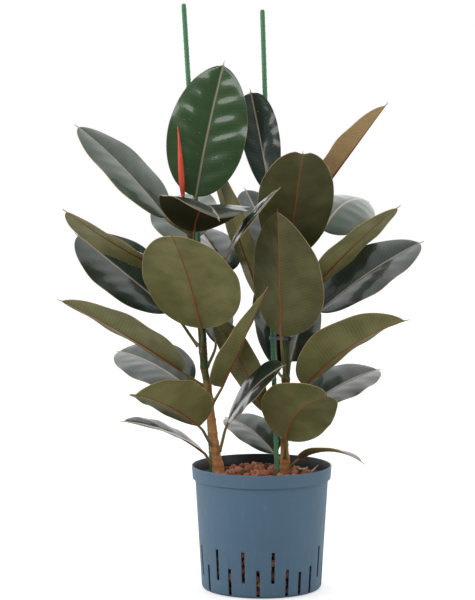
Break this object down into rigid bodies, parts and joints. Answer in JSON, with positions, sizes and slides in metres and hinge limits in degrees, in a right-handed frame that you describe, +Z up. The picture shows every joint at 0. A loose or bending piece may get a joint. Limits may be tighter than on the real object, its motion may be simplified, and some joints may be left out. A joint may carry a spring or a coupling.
{
  "type": "potted rubber plant",
  "caption": "Potted rubber plant: broad leathery leaves on woody stems tied to stakes, rooted in fired clay granulate in a slotted culture pot.",
  "frame": {"origin": "centre of the pot's flat underside", "axes": "+Z up along the pot's axis, front of the plant toward -Y, +X to the right seen from the front"},
  "size_m": [0.5742, 0.4206, 0.9161],
  "materials": {
    "pot_plastic": "matt moulded",
    "fired_clay": "rough fired",
    "bark": "ridged bark, green higher up",
    "stake_coating": "fine nubbly",
    "tie_plastic": "satin",
    "buckle_plastic": "satin",
    "sheath": "satin",
    "root": "dull",
    "leaf": "waxy gloss above, dull olive below"
  },
  "bodies": {
    "root": {"culture_pot": "pot_plastic", "stem_left": "bark", "stem_right": "bark", "stake_left": "stake_coating", "stake_right": "stake_coating", "clay_granulate": "fired_clay", "tie_strap_left": "tie_plastic", "tie_buckle_left": "buckle_plastic", "tie_strap_right": "tie_plastic", "tie_buckle_right": "buckle_plastic", "leaf_sheath": "sheath", "root_arch": "root", "root_branch": "root", "root_twig": "root", "leaf_left_01": "leaf", "leaf_left_02": "leaf", "leaf_left_03": "leaf", "leaf_left_04": "leaf", "leaf_left_05": "leaf", "leaf_left_06": "leaf", "leaf_left_07": "leaf", "leaf_left_08": "leaf", "leaf_left_09": "leaf", "leaf_left_10": "leaf", "leaf_left_11": "leaf", "leaf_left_12": "leaf", "leaf_left_13": "leaf", "leaf_left_14": "leaf", "leaf_left_15": "leaf", "leaf_left_16": "leaf", "leaf_right_01": "leaf", "leaf_right_02": "leaf", "leaf_right_03": "leaf", "leaf_right_04": "leaf", "leaf_right_05": "leaf", "leaf_right_06": "leaf", "leaf_right_07": "leaf", "leaf_right_08": "leaf", "leaf_right_09": "leaf", "leaf_right_10": "leaf", "leaf_right_11": "leaf", "leaf_right_12": "leaf", "leaf_right_13": "leaf", "leaf_right_14": "leaf", "leaf_right_15": "leaf", "leaf_right_16": "leaf", "leaf_right_17": "leaf"}
  },
  "joints": []
}
